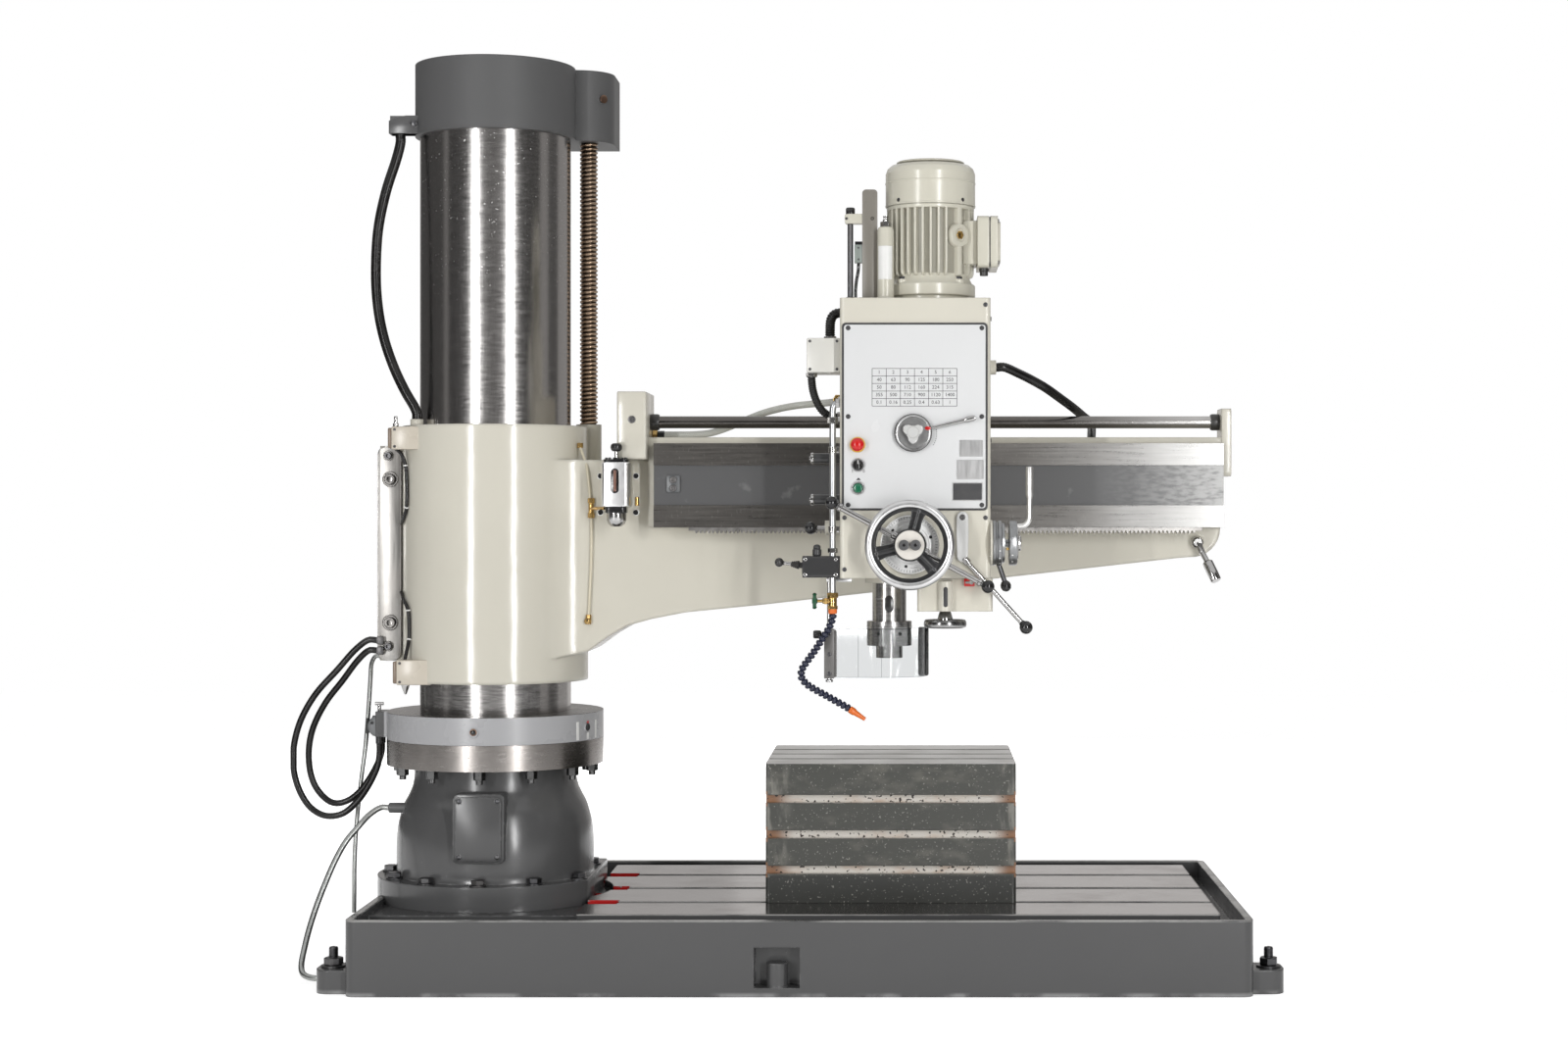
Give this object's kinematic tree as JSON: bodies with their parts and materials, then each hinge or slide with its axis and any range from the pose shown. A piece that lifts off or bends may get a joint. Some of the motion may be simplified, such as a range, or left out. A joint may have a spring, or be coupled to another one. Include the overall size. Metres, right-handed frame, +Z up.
{
  "type": "radial arm drill",
  "caption": "Radial arm drilling machine: column on a T-slotted base, swinging and lifting arm, traversing drill head with quill feed, and a box table.",
  "frame": {"origin": "the column's axis at floor level, on the base's underside", "axes": "+X along the arm away from the column, +Y away from the operator, +Z up"},
  "size_m": [2.2595, 1.16, 2.09],
  "materials": {
    "grey_paint": "gloss paint",
    "cream_paint": "gloss paint",
    "chrome_column": "hard chrome",
    "ring_paint": "satin paint",
    "ground_steel": "ground and scraped",
    "table_iron": "scuffed paint over cast iron",
    "black_cable": "black cable sheath",
    "grey_hose": "grey armoured hose",
    "clear_hose": "translucent braided hose",
    "black_steel": "blackened steel",
    "black_plastic": "moulded black plastic",
    "bright_steel": "polished steel",
    "bronze": "turned bronze",
    "motor_paint": "cream motor paint",
    "grey_plastic": "grey plastic",
    "blue_plastic": "blue moulded segments",
    "green_plastic": "green plastic",
    "red_plastic": "red plastic",
    "clear_plastic": "clear shield",
    "white_enamel": "white enamel"
  },
  "bodies": {
    "base": {"base_casting": "grey_paint", "base_bolts": "black_steel", "pedestal": "grey_paint", "pedestal_cover": "grey_paint", "inner_post": "ground_steel", "lower_ring": "chrome_column", "box_table": "table_iron", "return_hose": "grey_hose"},
    "column": {"column_sleeve": "chrome_column", "upper_ring": "ring_paint", "column_cap": "grey_paint", "elevating_motor": "motor_paint", "column_conduit": "black_cable"},
    "screw": {"elevating_screw": "ground_steel"},
    "arm": {"arm_casting": "cream_paint", "elevating_nut": "bronze", "traverse_rack": "ground_steel", "stop_bar": "bright_steel", "pull_handle": "bright_steel", "barrel_clamp": "bright_steel", "limit_switches": "grey_plastic", "lubricator": "bright_steel", "loop_cables": "black_cable", "supply_hose": "grey_hose"},
    "pump": {"lubricator_knob": "black_plastic"},
    "head": {"head_casing": "cream_paint", "front_panel": "cream_paint", "feed_box": "cream_paint", "motor_frame": "motor_paint", "fan_cover": "motor_paint", "terminal_box": "motor_paint", "accumulator": "bright_steel", "depth_trip": "bright_steel", "junction_box": "ring_paint", "coolant_pipe": "bright_steel", "joystick_housing": "black_plastic", "rear_conduit": "black_cable", "braided_hose": "clear_hose", "wheel_dial": "bright_steel"},
    "rotor": {"motor_rotor": "ground_steel"},
    "gear": {"drive_gear": "ground_steel"},
    "quill_body": {"quill": "bright_steel"},
    "spindle_body": {"spindle": "bright_steel"},
    "levers": {"feed_levers": "bright_steel"},
    "handwheel": {"traverse_wheel": "black_steel"},
    "fine_wheel": {"fine_feed_wheel": "black_steel"},
    "dial": {"speed_dial": "black_plastic"},
    "crank": {"speed_crank": "black_plastic"},
    "selector": {"feed_selector": "black_plastic"},
    "starter": {"start_lever": "white_enamel"},
    "stick": {"joystick": "black_plastic"},
    "guard": {"chip_guard": "clear_plastic"},
    "nozzle": {"coolant_nozzle": "blue_plastic"},
    "valve": {"valve_wheel": "green_plastic"},
    "knob": {"pull_knob": "black_plastic"},
    "estop": {"estop_button": "red_plastic"},
    "start": {"start_button": "green_plastic"},
    "switch": {"selector_switch": "black_plastic"},
    "clamp": {"clamp_button": "grey_plastic"},
    "release": {"release_button": "grey_plastic"}
  },
  "joints": [
    {"name": "column_swing", "type": "hinge", "parent": "base", "child": "column", "pos_m": [0, 0, 0.52], "axis": [0, 0, 1], "range_deg": [-150, 150]},
    {"name": "arm_lift", "type": "slide", "parent": "column", "child": "arm", "axis": [0, 0, 1], "range_m": [-0.03, 0.62], "deforming": ["column_conduit", "loop_cables", "supply_hose"]},
    {"name": "screw_turn", "type": "hinge", "parent": "column", "child": "screw", "pos_m": [0.209, 0.075, 1.5], "axis": [0, 0, 1], "range_deg": [-1090, 22330]},
    {"name": "head_traverse", "type": "slide", "parent": "arm", "child": "head", "axis": [1, 0, 0], "range_m": [-0.42, 0.5], "deforming": ["rear_conduit", "braided_hose"]},
    {"name": "handwheel_turn", "type": "hinge", "parent": "head", "child": "handwheel", "pos_m": [0.973, -0.64, 0.978], "axis": [0, 1, 0], "range_deg": [-1200, 1010]},
    {"name": "quill_feed", "type": "slide", "parent": "head", "child": "quill_body", "axis": [0, 0, -1], "range_m": [0, 0.22]},
    {"name": "lever_turn", "type": "hinge", "parent": "head", "child": "levers", "pos_m": [0.973, -0.6, 0.978], "axis": [0, -1, 0], "range_deg": [0, 631]},
    {"name": "gear_spin", "type": "hinge", "parent": "head", "child": "gear", "pos_m": [0.928, -0.4, 1.25], "axis": [0, 0, 1], "continuous": true},
    {"name": "spindle_spin", "type": "hinge", "parent": "quill_body", "child": "spindle_body", "pos_m": [0.928, -0.4, 0.75], "axis": [0, 0, 1], "continuous": true},
    {"name": "rotor_spin", "type": "hinge", "parent": "head", "child": "rotor", "pos_m": [1.018, -0.4, 1.6], "axis": [0, 0, 1], "continuous": true},
    {"name": "fine_feed_turn", "type": "hinge", "parent": "head", "child": "fine_wheel", "pos_m": [1.049, -0.5, 0.808], "axis": [0, 0, 1], "continuous": true},
    {"name": "dial_turn", "type": "hinge", "parent": "head", "child": "dial", "pos_m": [0.98, -0.57, 1.215], "axis": [0, 1, 0], "range_deg": [-130, 130]},
    {"name": "crank_turn", "type": "hinge", "parent": "head", "child": "crank", "pos_m": [1.195, -0.536, 0.981], "axis": [1, 0, 0], "range_deg": [-60, 60]},
    {"name": "selector_turn", "type": "hinge", "parent": "head", "child": "selector", "pos_m": [1.165, -0.536, 0.981], "axis": [1, 0, 0], "range_deg": [0, 40]},
    {"name": "starter_tilt", "type": "hinge", "parent": "head", "child": "starter", "pos_m": [1.085, -0.57, 1.036], "axis": [0, 1, 0], "range_deg": [-12, 12]},
    {"name": "joystick_tilt", "type": "hinge", "parent": "head", "child": "stick", "pos_m": [0.764, -0.52, 0.93], "axis": [0, 1, 0], "range_deg": [-12, 12], "stiffness_Nm_per_rad": 2},
    {"name": "guard_swing", "type": "hinge", "parent": "head", "child": "guard", "pos_m": [0.8, -0.5, 0.74], "axis": [0, 0, 1], "range_deg": [-80, 0]},
    {"name": "nozzle_swing", "type": "hinge", "parent": "head", "child": "nozzle", "pos_m": [0.808, -0.53, 0.83], "axis": [0, 0, 1], "range_deg": [-15, 40]},
    {"name": "valve_turn", "type": "hinge", "parent": "head", "child": "valve", "pos_m": [0.77, -0.53, 0.857], "axis": [1, 0, 0], "range_deg": [0, 360]},
    {"name": "knob_pull", "type": "slide", "parent": "head", "child": "knob", "axis": [-1, 0, 0], "range_m": [0, 0.012]},
    {"name": "pump_stroke", "type": "slide", "parent": "arm", "child": "pump", "axis": [0, 0, 1], "range_m": [0, 0.025]},
    {"name": "estop_push", "type": "slide", "parent": "head", "child": "estop", "axis": [0, 1, 0], "range_m": [0, 0.0035], "stiffness_N_per_m": 1500, "springref_m": -0.003},
    {"name": "start_push", "type": "slide", "parent": "head", "child": "start", "axis": [0, 1, 0], "range_m": [0, 0.003], "stiffness_N_per_m": 1500, "springref_m": -0.003},
    {"name": "switch_turn", "type": "hinge", "parent": "head", "child": "switch", "pos_m": [0.863, -0.57, 1.147], "axis": [0, 1, 0], "range_deg": [-45, 45]},
    {"name": "clamp_push", "type": "slide", "parent": "head", "child": "clamp", "axis": [0, 1, 0], "range_m": [0, 0.004], "stiffness_N_per_m": 1500, "springref_m": -0.003},
    {"name": "release_push", "type": "slide", "parent": "head", "child": "release", "axis": [0, 1, 0], "range_m": [0, 0.004], "stiffness_N_per_m": 1500, "springref_m": -0.003}
  ],
  "couplings": [
    {"joint": "screw_turn", "follows": "arm_lift", "rad_per_m": 628.32},
    {"joint": "handwheel_turn", "follows": "head_traverse", "rad_per_m": -41.667},
    {"joint": "lever_turn", "follows": "quill_feed", "rad_per_m": 50},
    {"joint": "spindle_spin", "follows": "gear_spin", "ratio": 1},
    {"joint": "rotor_spin", "follows": "gear_spin", "ratio": -3}
  ]
}
